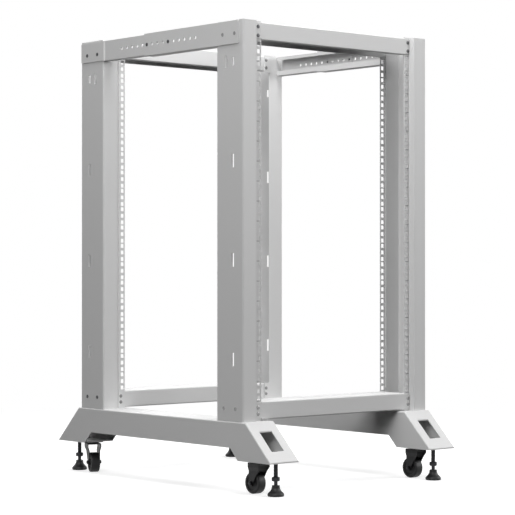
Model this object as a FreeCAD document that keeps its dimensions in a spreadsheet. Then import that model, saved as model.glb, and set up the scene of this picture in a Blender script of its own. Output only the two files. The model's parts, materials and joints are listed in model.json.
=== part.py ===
import FreeCAD, Part
import math
import os

import Sketcher
from FreeCAD import Placement, Rotation, Vector

# Four post open frame rack, 18 units high, on two splayed foot beams with swivel castors and
# levelling feet.  Millimetres.  Origin on the floor under the middle of the frame, +X to the
# right along the front, +Y to the back, +Z up.

doc = FreeCAD.newDocument("open_frame_rack")
sheet = doc.addObject("Spreadsheet::Sheet", "Sizes")


# ---------------------------------------------------------------- sizes and their expressions

class Size:
    """A length kept both as a number and as the sheet expression that gives it."""

    def __init__(self, number, text):
        self.number = float(number)
        self.text = text

    def __add__(self, other):
        other = as_size(other)
        return Size(self.number + other.number, "(%s + %s)" % (self.text, other.text))

    def __sub__(self, other):
        other = as_size(other)
        return Size(self.number - other.number, "(%s - %s)" % (self.text, other.text))

    def __mul__(self, other):
        other = as_size(other)
        return Size(self.number * other.number, "(%s * %s)" % (self.text, other.text))

    def __truediv__(self, other):
        other = as_size(other)
        return Size(self.number / other.number, "(%s / %s)" % (self.text, other.text))

    def __neg__(self):
        return Size(-self.number, "(-1 * %s)" % self.text)


def as_size(value):
    return value if isinstance(value, Size) else Size(value, repr(float(value)))


def root_of(size):
    return Size(math.sqrt(size.number), "sqrt(%s)" % size.text)


def cell(alias, number):
    """Write one driving dimension to the sheet and return it as a Size."""
    cell.row += 1
    sheet.set("A%d" % cell.row, alias)
    sheet.set("B%d" % cell.row, str(number))
    sheet.setAlias("B%d" % cell.row, alias)
    return Size(number, "Sizes.%s" % alias)


cell.row = 0

# whole frame
frame_depth = cell("frame_depth", 608.0)            # front face to rear face of the posts
sheet_steel = cell("sheet_steel", 2.0)              # wall of every bent part
joint_gap = cell("joint_gap", 0.5)                  # play between parts that only line up
bend_radius = cell("bend_radius", 1.0)              # inside radius of the bends
post_bend_radius = cell("post_bend_radius", 2.0)    # the same on the posts

# rack pattern
rack_units = cell("rack_units", 18)
unit_height = cell("unit_height", 44.45)
rack_opening = cell("rack_opening", 450.8)          # between the two hole strips
hole_inset = cell("hole_inset", 7.15)               # hole column from the edge of its strip
hole_size = cell("hole_size", 9.5)                  # square holes
hole_step = cell("hole_step", 15.875)               # between the holes of one unit

# posts
post_depth = cell("post_depth", 91.0)
post_face = cell("post_face", 39.5)                 # outward flange before its joggle
joggle_run = cell("joggle_run", 6.8)
strip_width = cell("strip_width", 16.3)             # hole strip beyond the joggle
strip_setback = cell("strip_setback", 11.0)         # hole strip behind the outward flange
back_strip_width = cell("back_strip_width", 16.6)   # hole strip beyond the inward flange
slot_width = cell("slot_width", 8.0)
slot_height = cell("slot_height", 30.0)
slot_inset = cell("slot_inset", 35.0)
slot_lowest = cell("slot_lowest", 138.0)
slot_pitch = cell("slot_pitch", 220.0)
slot_count = cell("slot_count", 3)
top_slot_inset = cell("top_slot_inset", 58.0)       # taller of the two slots at the top
top_slot_height = cell("top_slot_height", 27.0)
short_slot_height = cell("short_slot_height", 19.0)
corner_cut_width = cell("corner_cut_width", 24.0)
corner_cut_drop = cell("corner_cut_drop", 40.0)

# foot beams
beam_top = cell("beam_top", 159.0)
beam_edge = cell("beam_edge", 101.0)                # raised lower edge between the feet
foot_bottom = cell("foot_bottom", 74.0)
foot_length = cell("foot_length", 109.0)
foot_step_run = cell("foot_step_run", 26.0)
foot_overhang = cell("foot_overhang", 92.0)         # tip beyond the post face
beam_overhang = cell("beam_overhang", 8.7)          # beam top beyond the post face
beam_width = cell("beam_width", 84.0)
beam_outset = cell("beam_outset", 1.5)              # beam side beyond the post web
tip_height = cell("tip_height", 3.0)                # upright nose below the slope
window_width = cell("window_width", 36.0)
window_start = cell("window_start", 22.0)           # from the tip, along the floor
window_run = cell("window_run", 42.0)
foot_plate_thick = cell("foot_plate_thick", 3.0)

# headers and crossbars
channel_height = cell("channel_height", 40.0)
channel_lip = cell("channel_lip", 8.0)
header_drop = cell("header_drop", 1.5)              # below the post tops
crossbar_rise = cell("crossbar_rise", 3.0)          # above the foot beams

# telescopic side beams
side_height = cell("side_height", 47.0)             # inner half
side_depth = cell("side_depth", 22.0)
side_top_return = cell("side_top_return", 8.0)
side_bottom_return = cell("side_bottom_return", 12.0)
side_play = cell("side_play", 0.3)
side_drop = cell("side_drop", 1.0)
side_front_inset = cell("side_front_inset", 14.0)   # front end behind the front face
side_rear_inset = cell("side_rear_inset", 3.0)      # rear end before the rear face
side_end_round = cell("side_end_round", 3.0)        # corners of the two ends
side_overlap = cell("side_overlap", 100.0)
side_joggle_run = cell("side_joggle_run", 4.0)
side_hole_radius = cell("side_hole_radius", 3.5)
side_hole_pitch = cell("side_hole_pitch", 20.0)
side_hole_count = cell("side_hole_count", 10)       # in each half

# brackets inside the post feet
bracket_thick = cell("bracket_thick", 3.0)
bracket_reach = cell("bracket_reach", 34.0)
bracket_length = cell("bracket_length", 60.0)
bracket_rise = cell("bracket_rise", 42.0)
bracket_inset = cell("bracket_inset", 16.0)

# castors
castor_inset = cell("castor_inset", 84.0)           # swivel axis from the foot tip
castor_plate_side = cell("castor_plate_side", 36.0)
castor_plate_thick = cell("castor_plate_thick", 2.5)
race_radius = cell("race_radius", 14.0)
race_height = cell("race_height", 2.0)
king_pin_radius = cell("king_pin_radius", 4.0)
king_pin_end = cell("king_pin_end", 1.0)            # below the crown
pin_play = cell("pin_play", 0.05)
running_gap = cell("running_gap", 0.3)
wheel_radius = cell("wheel_radius", 24.0)
wheel_width = cell("wheel_width", 22.0)
rim_radius = cell("rim_radius", 17.0)
wheel_dish = cell("wheel_dish", 3.0)
wheel_side_gap = cell("wheel_side_gap", 1.0)
castor_trail = cell("castor_trail", 13.0)
axle_radius = cell("axle_radius", 3.5)
fork_thick = cell("fork_thick", 2.0)
fork_width = cell("fork_width", 34.0)               # housing under the plate
fork_shoulder = cell("fork_shoulder", 9.0)          # straight side of the housing
fork_shoulder_drop = cell("fork_shoulder_drop", 9.0)  # slant down to the legs
fork_lead = cell("fork_lead", 16.0)                 # front of the housing before the swivel axis
fork_eye = cell("fork_eye", 7.0)                    # leg radius round the axle

# levelling feet
stud_inset = cell("stud_inset", 29.0)               # from the foot tip
stud_radius = cell("stud_radius", 5.0)
neck_radius = cell("neck_radius", 4.0)              # between the pad and the nut
stud_above_plate = cell("stud_above_plate", 14.0)
weld_nut_width = cell("weld_nut_width", 18.0)       # across flats
weld_nut_height = cell("weld_nut_height", 8.0)
pad_radius = cell("pad_radius", 18.5)
pad_rim = cell("pad_rim", 4.5)
pad_cone_top = cell("pad_cone_top", 17.0)
pad_collar_radius = cell("pad_collar_radius", 9.3)
pad_height = cell("pad_height", 24.0)
nut_width = cell("nut_width", 17.0)                 # across flats
nut_height = cell("nut_height", 9.5)
nut_bottom = cell("nut_bottom", 33.0)

# heading of each castor: the way its wheel trails, in degrees from +Y
CASTOR_HEADING = {
    "front_left": 0.0,
    "front_right": 0.0,
    "rear_left": 157.0,
    "rear_right": 180.0,
}

# places that follow from the sizes above
post_height = (rack_units + 2) * unit_height
strip_edge = post_face + joggle_run + strip_width
hole_column = strip_edge - hole_inset
back_flange = strip_edge - back_strip_width
frame_width = rack_opening + strip_edge * 2
joggle_length = root_of(joggle_run * joggle_run + strip_setback * strip_setback)
joggle_shift = sheet_steel * (joggle_length - joggle_run) / strip_setback
beam_length = frame_depth + foot_overhang * 2
slope_run = foot_overhang - beam_overhang
slope_rise = beam_top - foot_bottom - tip_height
slope_shift = sheet_steel * root_of(slope_run * slope_run + slope_rise * slope_rise) / slope_rise
channel_setback = strip_setback - sheet_steel
channel_depth = post_depth - channel_setback
channel_body = rack_opening - joint_gap * 2
channel_length = frame_width - (post_face + joggle_run + side_play) * 2
beam_centre = frame_width / 2 + beam_outset - beam_width / 2
sleeve_step = sheet_steel + side_play
sleeve_height = side_height + sleeve_step * 2
lip_start = post_depth + sheet_steel + joint_gap
sleeve_bottom = post_height - side_drop - sleeve_height
side_hole_height = sleeve_height / 2
fork_gap = wheel_width + wheel_side_gap * 2
race_bottom = foot_bottom - castor_plate_thick - race_height
crown_top = race_bottom - running_gap
crown_bottom = crown_top - fork_thick
shoulder_bottom = crown_top - fork_shoulder
leg_top = shoulder_bottom - fork_shoulder_drop
fork_tail = castor_trail + fork_eye


# ------------------------------------------------------------------------- modelling helpers

def origin_plane(body, role):
    for feature in body.Origin.OriginFeatures:
        if feature.Role == role:
            return feature
    raise ValueError("no origin plane %s" % role)


def new_body(name, base=Vector(0, 0, 0), turn=0.0):
    """A body whose own frame stands at base, turned about Z by turn degrees."""
    body = doc.addObject("PartDesign::Body", name)
    body.Label = name
    body.Placement = Placement(base, Rotation(Vector(0, 0, 1), turn))
    return body


def bind(thing, name, size):
    """Set a property from a size and keep it bound to the sheet."""
    size = as_size(size)
    setattr(thing, name, size.number)
    thing.setExpression(name, size.text)


def new_sketch(body, name, plane, offset=None):
    """A sketch on one of the body's origin planes, shifted along the plane's normal."""
    sketch = body.newObject("Sketcher::SketchObject", name)
    sketch.AttachmentSupport = [(origin_plane(body, plane), "")]
    sketch.MapMode = "FlatFace"
    if offset is not None:
        sketch.AttachmentOffset = Placement(Vector(0, 0, offset.number), Rotation())
        sketch.setExpression("AttachmentOffset.Base.z", offset.text)
    return sketch


def pin_point(sketch, index, position, x, y):
    """Hold a point of the sketch at (x, y) with constraints that follow the sheet."""
    for kind, axis, size in (("DistanceX", -2, as_size(x)), ("DistanceY", -1, as_size(y))):
        if size.number == 0.0 and not size.text.startswith("("):
            sketch.addConstraint(Sketcher.Constraint("PointOnObject", index, position, axis))
            continue
        rule = Sketcher.Constraint(kind, -1, 1, index, position, size.number)
        number = sketch.addConstraint(rule)
        sketch.setExpression("Constraints[%d]" % number, size.text)


def draw_outline(sketch, corners):
    """Closed polygon through corners, each a pair of sizes."""
    first = sketch.GeometryCount
    places = [Vector(as_size(x).number, as_size(y).number, 0) for x, y in corners]
    count = len(places)
    for i in range(count):
        sketch.addGeometry(Part.LineSegment(places[i], places[(i + 1) % count]), False)
    for i in range(count):
        sketch.addConstraint(Sketcher.Constraint("Coincident", first + i, 2, first + (i + 1) % count, 1))
    for i, (x, y) in enumerate(corners):
        pin_point(sketch, first + i, 1, x, y)


def draw_box(sketch, left, bottom, right, top):
    draw_outline(sketch, [(left, bottom), (right, bottom), (right, top), (left, top)])


def draw_circle(sketch, x, y, radius):
    x, y = as_size(x), as_size(y)
    circle = Part.Circle(Vector(x.number, y.number, 0), Vector(0, 0, 1), radius.number)
    index = sketch.addGeometry(circle, False)
    pin_point(sketch, index, 3, x, y)
    number = sketch.addConstraint(Sketcher.Constraint("Radius", index, radius.number))
    sketch.setExpression("Constraints[%d]" % number, radius.text)


def pad(body, name, sketch, length, both_ways=False, backwards=False):
    feature = body.newObject("PartDesign::Pad", name)
    feature.Profile = sketch
    feature.Midplane = both_ways
    feature.Reversed = backwards
    bind(feature, "Length", length)
    doc.recompute()
    return feature


def pocket(body, name, sketch, length=None, both_ways=False, backwards=False):
    """Cut a sketch out of the body; no length means right through."""
    volume = body.Shape.Volume
    feature = body.newObject("PartDesign::Pocket", name)
    feature.Profile = sketch
    feature.Midplane = both_ways
    feature.Reversed = backwards
    if length is None:
        feature.Type = "ThroughAll"
    else:
        bind(feature, "Length", length)
    doc.recompute()
    if not body.Shape.Volume < volume:
        raise RuntimeError("%s cuts nothing" % name)
    return feature


def repeat(body, name, feature, sketch, axis, spacing, count):
    """Linear pattern of a feature along an axis of its sketch."""
    pattern = body.newObject("PartDesign::LinearPattern", name)
    pattern.Originals = [feature]
    pattern.Direction = (sketch, [axis])
    bind(pattern, "Length", spacing * (count - 1))
    pattern.Occurrences = int(count.number)
    pattern.setExpression("Occurrences", count.text)
    body.Tip = pattern
    doc.recompute()
    return pattern


def straight_edges(shape, along, places):
    """Names of the edges along one axis that stand at the given places across it."""
    across = [axis for axis in "xyz" if axis != along]
    names = []
    for number, edge in enumerate(shape.Edges, 1):
        box = edge.BoundBox
        length = {"x": box.XLength, "y": box.YLength, "z": box.ZLength}
        low = {"x": box.XMin, "y": box.YMin, "z": box.ZMin}
        if length[along] < 1.0 or any(length[axis] > 1e-6 for axis in across):
            continue
        for spot in places:
            if all(abs(low[axis] - as_size(c).number) < 1e-4 for axis, c in zip(across, spot)):
                names.append("Edge%d" % number)
    return names


def ridge_edges(shape, sides, height):
    """Names of the edges that lie flat in one of the upright side planes and reach a height."""
    names = []
    for number, edge in enumerate(shape.Edges, 1):
        box = edge.BoundBox
        if box.XLength > 1e-6 or abs(box.ZMax - height.number) > 1e-4:
            continue
        if any(abs(box.XMin - as_size(side).number) < 1e-4 for side in sides):
            names.append("Edge%d" % number)
    return names


def round_edges(body, name, base, edges, radius):
    feature = body.newObject("PartDesign::Fillet", name)
    feature.Base = (base, edges)
    bind(feature, "Radius", radius)
    doc.recompute()
    return feature


def mirrored(name, source, normal):
    """A mirror image of a sub-part in a plane through the middle of the frame."""
    image = doc.addObject("Part::Mirroring", name)
    image.Label = name
    image.Source = source
    image.Normal = normal
    image.Base = Vector(0, 0, 0)
    return image


def place(part, x, y, z, turn=0.0):
    part.Placement = Placement(Vector(x, y, z), Rotation(Vector(0, 0, 1), turn))


def primitive(kind, name, sizes, at=(0, 0, 0), turn=Rotation()):
    """A Part primitive with its sizes and base bound to the sheet."""
    solid = doc.addObject("Part::%s" % kind, name)
    for key, size in sizes.items():
        bind(solid, key, size)
    solid.Placement = Placement(Vector(*[as_size(c).number for c in at]), turn)
    for axis, coordinate in zip("xyz", at):
        solid.setExpression("Placement.Base.%s" % axis, as_size(coordinate).text)
    return solid


nodes = []
zero = 0.0
half_width = frame_width.number / 2
half_depth = frame_depth.number / 2


# --------------------------------------------------------------------------------- foot beams

def foot_beam(name, left):
    """Bent sheet beam: two webs, a top and two sloping ends with windows, open below."""
    body = new_body(name, Vector(left, -beam_length.number / 2, 0))
    side = new_sketch(body, name + "_side", "YZ_Plane")
    inner = foot_length + foot_step_run
    draw_outline(side, [
        (zero, foot_bottom),
        (zero, foot_bottom + tip_height),
        (slope_run, beam_top),
        (beam_length - slope_run, beam_top),
        (beam_length, foot_bottom + tip_height),
        (beam_length, foot_bottom),
        (beam_length - foot_length, foot_bottom),
        (beam_length - inner, beam_edge),
        (inner, beam_edge),
        (foot_length, foot_bottom),
    ])
    block = pad(body, name + "_block", side, beam_width)
    ridge = ridge_edges(block.Shape, (0, beam_width), beam_top)
    round_edges(body, name + "_outer_bends", block, ridge, sheet_steel + bend_radius)
    hollow = new_sketch(body, name + "_hollow_side", "YZ_Plane", sheet_steel)
    low = foot_bottom + tip_height - (slope_shift - sheet_steel) * slope_rise / slope_run
    high = slope_shift + (slope_rise - sheet_steel) * slope_run / slope_rise
    draw_outline(hollow, [
        (sheet_steel, foot_bottom - sheet_steel),
        (sheet_steel, low),
        (high, beam_top - sheet_steel),
        (beam_length - high, beam_top - sheet_steel),
        (beam_length - sheet_steel, low),
        (beam_length - sheet_steel, foot_bottom - sheet_steel),
    ])
    shell = pocket(body, name + "_hollow", hollow, beam_width - sheet_steel * 2, backwards=True)
    ridge = ridge_edges(shell.Shape, (sheet_steel, beam_width - sheet_steel), beam_top - sheet_steel)
    round_edges(body, name + "_inner_bends", shell, ridge, bend_radius)
    plan = new_sketch(body, name + "_window_plan", "XY_Plane")
    left_edge = (beam_width - window_width) / 2
    for start in (window_start, beam_length - window_start - window_run):
        draw_box(plan, left_edge, start, left_edge + window_width, start + window_run)
    pocket(body, name + "_windows", plan, backwards=True)
    nodes.append(body)


foot_beam("left_foot_beam", -(beam_centre + beam_width / 2).number)
foot_beam("right_foot_beam", (beam_centre - beam_width / 2).number)

CORNERS = {
    "front_left": (-1, -1),
    "front_right": (1, -1),
    "rear_left": (-1, 1),
    "rear_right": (1, 1),
}


def foot_plate(corner, side, end):
    """Plate across the foot's bottom with a welded nut for the levelling stud."""
    name = corner + "_foot_plate"
    start = slope_shift + (foot_plate_thick - tip_height) * slope_run / slope_rise + joint_gap
    width = beam_width - sheet_steel * 2
    plate = primitive("Box", name + "_sheet", {
        "Length": width, "Width": foot_length - start, "Height": foot_plate_thick,
    }, (-(width / 2), start, zero))
    nut = primitive("Prism", name + "_nut", {
        "Circumradius": weld_nut_width / root_of(as_size(3)), "Height": weld_nut_height,
    }, (zero, stud_inset, foot_plate_thick))
    nut.Polygon = 6
    bore = primitive("Cylinder", name + "_bore", {
        "Radius": stud_radius + pin_play, "Height": (foot_plate_thick + weld_nut_height) * 2,
    }, (zero, stud_inset, -foot_plate_thick))
    body = doc.addObject("Part::Fuse", name + "_solid")
    body.Base = plate
    body.Tool = nut
    part = doc.addObject("Part::Cut", name)
    part.Label = name
    part.Base = body
    part.Tool = bore
    turn = 0.0 if end < 0 else 180.0
    place(part, side * beam_centre.number, end * beam_length.number / 2, foot_bottom.number, turn)
    nodes.append(part)


for corner, (side, end) in CORNERS.items():
    foot_plate(corner, side, end)


# -------------------------------------------------------------------------------------- posts

def post(name, x, y, turn, whole_strip):
    """Channel post: outer web, outward flange with its set-back hole strip, inward flange."""
    body = new_body(name, Vector(x, y, beam_top.number), turn)
    profile = new_sketch(body, name + "_profile", "XY_Plane")
    strip_back = strip_setback + sheet_steel
    lap = back_flange - sheet_steel
    draw_outline(profile, [
        (strip_edge, post_depth + sheet_steel),
        (lap, post_depth + sheet_steel),
        (lap, post_depth),
        (zero, post_depth),
        (zero, zero),
        (post_face, zero),
        (post_face + joggle_run, strip_setback),
        (strip_edge, strip_setback),
        (strip_edge, strip_back),
        (post_face + joggle_run - joggle_shift, strip_back),
        (post_face - joggle_shift, sheet_steel),
        (sheet_steel, sheet_steel),
        (sheet_steel, post_depth - sheet_steel),
        (back_flange, post_depth - sheet_steel),
        (back_flange, post_depth),
        (strip_edge, post_depth),
    ])
    shell = pad(body, name + "_channel", profile, post_height)
    outside = straight_edges(shell.Shape, "z", [(0, post_depth), (0, 0)])
    bends = round_edges(body, name + "_outer_bends", shell, outside, sheet_steel + post_bend_radius)
    inside = straight_edges(bends.Shape, "z", [
        (sheet_steel, sheet_steel),
        (sheet_steel, post_depth - sheet_steel),
    ])
    round_edges(body, name + "_inner_bends", bends, inside, post_bend_radius)

    back = -(post_depth + sheet_steel)
    corner = new_sketch(body, name + "_corner_side", "XZ_Plane", back)
    draw_outline(corner, [
        (zero, post_height - corner_cut_drop),
        (corner_cut_width, post_height),
        (corner_cut_width, post_height + sheet_steel),
        (-sheet_steel, post_height + sheet_steel),
        (-sheet_steel, post_height - corner_cut_drop),
    ])
    pocket(body, name + "_corner_cut", corner, sheet_steel * 2 + post_bend_radius, backwards=True)

    if not whole_strip:
        gap = new_sketch(body, name + "_gap_side", "XZ_Plane", back)
        draw_box(gap, lap, unit_height, strip_edge + sheet_steel, post_height - unit_height)
        pocket(body, name + "_strip_gap", gap, sheet_steel, backwards=True)

    slot = new_sketch(body, name + "_slot_side", "YZ_Plane")
    draw_box(slot, slot_inset - slot_width / 2, slot_lowest - slot_height / 2,
             slot_inset + slot_width / 2, slot_lowest + slot_height / 2)
    slots = pocket(body, name + "_slot", slot, sheet_steel * 4, both_ways=True)
    repeat(body, name + "_slots", slots, slot, "V_Axis", slot_pitch, slot_count)
    pair = new_sketch(body, name + "_top_slot_side", "YZ_Plane")
    highest = slot_lowest + slot_pitch * slot_count
    for inset, height in ((slot_inset, short_slot_height), (top_slot_inset, top_slot_height)):
        draw_box(pair, inset - slot_width / 2, highest - height / 2,
                 inset + slot_width / 2, highest + height / 2)
    pocket(body, name + "_top_slots", pair, sheet_steel * 4, both_ways=True)

    unit = new_sketch(body, name + "_unit_side", "XZ_Plane")
    middle = unit_height * 3 / 2
    for step in (-1, 0, 1):
        height = middle + hole_step * step
        draw_box(unit, hole_column - hole_size / 2, height - hole_size / 2,
                 hole_column + hole_size / 2, height + hole_size / 2)
    holes = pocket(body, name + "_unit_holes", unit)
    repeat(body, name + "_all_holes", holes, unit, "V_Axis", unit_height, rack_units)
    return body


nodes.append(post("front_left_post", -half_width, -half_depth, 0.0, False))
nodes.append(post("rear_right_post", half_width, half_depth, 180.0, False))
strip_post = post("whole_strip_post", -half_width, -half_depth, 0.0, True)
nodes.append(mirrored("front_right_post", strip_post, Vector(1, 0, 0)))
nodes.append(mirrored("rear_left_post", strip_post, Vector(0, 1, 0)))


def post_bracket(corner, side, end):
    """Angle bracket that ties the post's web to the foot beam, inside the channel."""
    name = corner + "_post_bracket"
    base = primitive("Box", name + "_base", {
        "Length": bracket_reach, "Width": bracket_length, "Height": bracket_thick,
    })
    rise = primitive("Box", name + "_rise", {
        "Length": bracket_thick, "Width": bracket_length, "Height": bracket_rise,
    })
    part = doc.addObject("Part::Fuse", name)
    part.Label = name
    part.Base = base
    part.Tool = rise
    x = half_width - sheet_steel.number
    y = half_depth - bracket_inset.number
    if end > 0:
        y -= bracket_length.number
    if side < 0:
        place(part, -x, end * y, beam_top.number)
    else:
        place(part, x, end * y + bracket_length.number, beam_top.number, 180.0)
    nodes.append(part)


for corner, (side, end) in CORNERS.items():
    post_bracket(corner, side, end)


# ---------------------------------------------------------------------- headers and crossbars

def cross_channel(name, front, bottom):
    """Lipped channel, open below, with flat tabs at both ends that lie on the hole strips."""
    reach = half_depth - channel_setback.number
    base = Vector(0, -reach if front else reach, bottom)
    body = new_body(name, base, 0.0 if front else 180.0)
    section = new_sketch(body, name + "_section", "YZ_Plane")
    far = channel_depth
    draw_outline(section, [
        (zero, zero),
        (zero, channel_height),
        (far, channel_height),
        (far, zero),
        (far - channel_lip, zero),
        (far - channel_lip, sheet_steel),
        (far - sheet_steel, sheet_steel),
        (far - sheet_steel, channel_height - sheet_steel),
        (sheet_steel, channel_height - sheet_steel),
        (sheet_steel, sheet_steel),
        (channel_lip, sheet_steel),
        (channel_lip, zero),
    ])
    channel = pad(body, name + "_channel", section, channel_body, both_ways=True)
    outside = straight_edges(channel.Shape, "x", [
        (0, 0), (0, channel_height), (far, channel_height), (far, 0)])
    bend = sheet_steel + bend_radius
    bends = round_edges(body, name + "_outer_bends", channel, outside, bend)
    inside = straight_edges(bends.Shape, "x", [
        (y, z) for y in (sheet_steel, far - sheet_steel)
        for z in (sheet_steel, channel_height - sheet_steel)])
    round_edges(body, name + "_inner_bends", bends, inside, bend_radius)
    tabs = new_sketch(body, name + "_tab_section", "YZ_Plane")
    draw_box(tabs, zero, bend, sheet_steel, channel_height - bend)
    draw_box(tabs, far - sheet_steel, bend, far, channel_height - bend)
    pad(body, name + "_tabs", tabs, channel_length, both_ways=True)
    nodes.append(body)


header_bottom = (beam_top + post_height - header_drop - channel_height).number
crossbar_bottom = (beam_top + crossbar_rise).number
cross_channel("front_header", True, header_bottom)
cross_channel("rear_header", False, header_bottom)
cross_channel("front_crossbar", True, crossbar_bottom)
cross_channel("rear_crossbar", False, crossbar_bottom)


# --------------------------------------------------------------------------------- side beams

def lipped_section(sketch, outside, height, bottom, depth, grow):
    """C section open to the inside of the frame, web at outside, lips turned back."""
    web = outside + sheet_steel
    top = bottom + height
    fold = depth - sheet_steel
    draw_outline(sketch, [
        (outside, bottom),
        (depth, bottom),
        (depth, bottom + side_bottom_return + grow),
        (fold, bottom + side_bottom_return + grow),
        (fold, bottom + sheet_steel),
        (web, bottom + sheet_steel),
        (web, top - sheet_steel),
        (fold, top - sheet_steel),
        (fold, top - side_top_return - grow),
        (depth, top - side_top_return - grow),
        (depth, top),
        (outside, top),
    ])


def side_holes(body, name, first, height):
    row = new_sketch(body, name + "_hole_side", "YZ_Plane")
    draw_circle(row, first, height, side_hole_radius)
    hole = pocket(body, name + "_hole", row, (sheet_steel + sleeve_step) * 3, both_ways=True)
    repeat(body, name + "_holes", hole, row, "H_Axis", side_hole_pitch, side_hole_count)


side_base = Vector(-half_width, -half_depth, (beam_top + sleeve_bottom).number)
middle = frame_depth / 2
hole_overlap = side_hole_pitch * 2


def round_end(body, name, base, end, bottom, height):
    """Round the two corners of a flat end that lies on a post."""
    corners = straight_edges(base.Shape, "x", [(end, bottom), (end, bottom + height)])
    return round_edges(body, name + "_end_corners", base, corners, side_end_round)


def sleeve_half(name):
    """Front half: straight web that starts on the post, then a channel round the rear half."""
    body = new_body(name, side_base)
    end = middle + side_overlap / 2
    plan = new_sketch(body, name + "_plan", "XY_Plane")
    draw_box(plan, -sheet_steel, side_front_inset, zero, end)
    web = pad(body, name + "_web", plan, sleeve_height)
    round_end(body, name, web, side_front_inset, as_size(0), sleeve_height)
    section = new_sketch(body, name + "_section", "XZ_Plane", -lip_start)
    lipped_section(section, -sheet_steel, sleeve_height, as_size(0), side_depth + sleeve_step * 2,
                   sleeve_step)
    pad(body, name + "_channel", section, end - lip_start, backwards=True)
    side_holes(body, name, middle + hole_overlap - side_hole_pitch * (side_hole_count - 1),
               side_hole_height)
    return body


def sliding_half(name):
    """Rear half: a channel that slides inside the front half, joggled out on to its post."""
    body = new_body(name, side_base)
    start = middle - side_overlap / 2
    seat = frame_depth - lip_start
    stop = seat - side_joggle_run
    end = frame_depth - side_rear_inset
    plan = new_sketch(body, name + "_plan", "XY_Plane", sleeve_step)
    draw_outline(plan, [
        (side_play, start),
        (side_play, stop),
        (-sheet_steel, seat),
        (-sheet_steel, end),
        (zero, end),
        (zero, seat),
        (sleeve_step, stop),
        (sleeve_step, start),
    ])
    web = pad(body, name + "_web", plan, side_height)
    round_end(body, name, web, end, sleeve_step, side_height)
    section = new_sketch(body, name + "_section", "XZ_Plane", -start)
    lipped_section(section, side_play, side_height, sleeve_step, side_depth + sleeve_step, as_size(0))
    pad(body, name + "_channel", section, stop - start, backwards=True)
    side_holes(body, name, middle - hole_overlap, side_hole_height)
    return body


left_front = sleeve_half("left_side_beam_front")
left_rear = sliding_half("left_side_beam_rear")
nodes.append(left_front)
nodes.append(left_rear)
nodes.append(mirrored("right_side_beam_front", left_front, Vector(1, 0, 0)))
nodes.append(mirrored("right_side_beam_rear", left_rear, Vector(1, 0, 0)))


# ------------------------------------------------------------------------------------ castors

def castor_plate(name, x, y):
    """Top plate with the fixed race and the king pin."""
    side = castor_plate_side
    sheet_part = primitive("Box", name + "_sheet", {
        "Length": side, "Width": side, "Height": castor_plate_thick,
    }, (-(side / 2), -(side / 2), foot_bottom - castor_plate_thick))
    race = primitive("Cylinder", name + "_race", {
        "Radius": race_radius, "Height": race_height,
    }, (zero, zero, race_bottom))
    pin_bottom = crown_bottom - king_pin_end
    pin = primitive("Cylinder", name + "_king_pin", {
        "Radius": king_pin_radius, "Height": race_bottom - pin_bottom + race_height / 2,
    }, (zero, zero, pin_bottom))
    part = doc.addObject("Part::MultiFuse", name)
    part.Label = name
    part.Shapes = [sheet_part, race, pin]
    place(part, x, y, 0)
    nodes.append(part)


def castor_fork(name, x, y, heading):
    """Pressed housing: crown, shoulders drawn in to two tapering legs, and the axle."""
    body = new_body(name, Vector(x, y, 0), heading)
    outside, leg = fork_width / 2, fork_gap / 2 + fork_thick
    foot = wheel_radius - fork_eye
    right = [
        (outside, crown_top),
        (outside, shoulder_bottom),
        (leg, leg_top),
        (leg, foot),
        (leg - fork_thick, foot),
        (leg - fork_thick, leg_top),
        (outside - fork_thick, shoulder_bottom),
        (outside - fork_thick, crown_bottom),
    ]
    front = new_sketch(body, name + "_housing_front", "XZ_Plane", fork_lead)
    draw_outline(front, right + [(-across, height) for across, height in reversed(right)])
    pad(body, name + "_housing", front, fork_lead + fork_tail, backwards=True)
    taper = new_sketch(body, name + "_leg_side", "YZ_Plane")
    below = foot - fork_thick
    draw_outline(taper, [
        (-fork_lead, shoulder_bottom),
        (castor_trail - fork_eye, wheel_radius),
        (castor_trail - fork_eye / 2, foot),
        (castor_trail - fork_eye / 2, below),
        (-(fork_lead + fork_thick), below),
        (-(fork_lead + fork_thick), shoulder_bottom),
    ])
    draw_outline(taper, [
        (fork_tail, wheel_radius),
        (castor_trail + fork_eye / 2, foot),
        (castor_trail + fork_eye / 2, below),
        (fork_tail + fork_thick, below),
        (fork_tail + fork_thick, wheel_radius),
    ])
    pocket(body, name + "_leg_taper", taper, fork_width * 2, both_ways=True)
    bore = new_sketch(body, name + "_bore_plan", "XY_Plane", crown_bottom)
    draw_circle(bore, 0, 0, king_pin_radius + pin_play)
    pocket(body, name + "_bore", bore, fork_thick * 2, backwards=True)
    axle = new_sketch(body, name + "_axle_side", "YZ_Plane")
    draw_circle(axle, castor_trail, wheel_radius, axle_radius)
    pad(body, name + "_axle", axle, fork_gap + fork_thick * 2, both_ways=True)
    nodes.append(body)


def castor_wheel(name, x, y, heading):
    """Moulded wheel with dished sides and a plain bore."""
    body = new_body(name, Vector(x, y, 0), heading)
    half = wheel_width / 2
    profile = new_sketch(body, name + "_profile", "XY_Plane", wheel_radius)
    bore = axle_radius + pin_play

    def corner(x_side, radius):
        return (x_side, castor_trail + radius)

    web = half - wheel_dish
    draw_outline(profile, [
        corner(-web, bore),
        corner(web, bore),
        corner(web, rim_radius),
        corner(half, rim_radius),
        corner(half, wheel_radius),
        corner(-half, wheel_radius),
        corner(-half, rim_radius),
        corner(-web, rim_radius),
    ])
    line = profile.addGeometry(
        Part.LineSegment(Vector(-half.number, castor_trail.number, 0),
                         Vector(half.number, castor_trail.number, 0)), True)
    pin_point(profile, line, 1, -half, castor_trail)
    pin_point(profile, line, 2, half, castor_trail)
    turned = body.newObject("PartDesign::Revolution", name + "_turned")
    turned.Profile = profile
    turned.ReferenceAxis = (profile, ["Axis0"])
    turned.Angle = 360.0
    doc.recompute()
    nodes.append(body)


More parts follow.
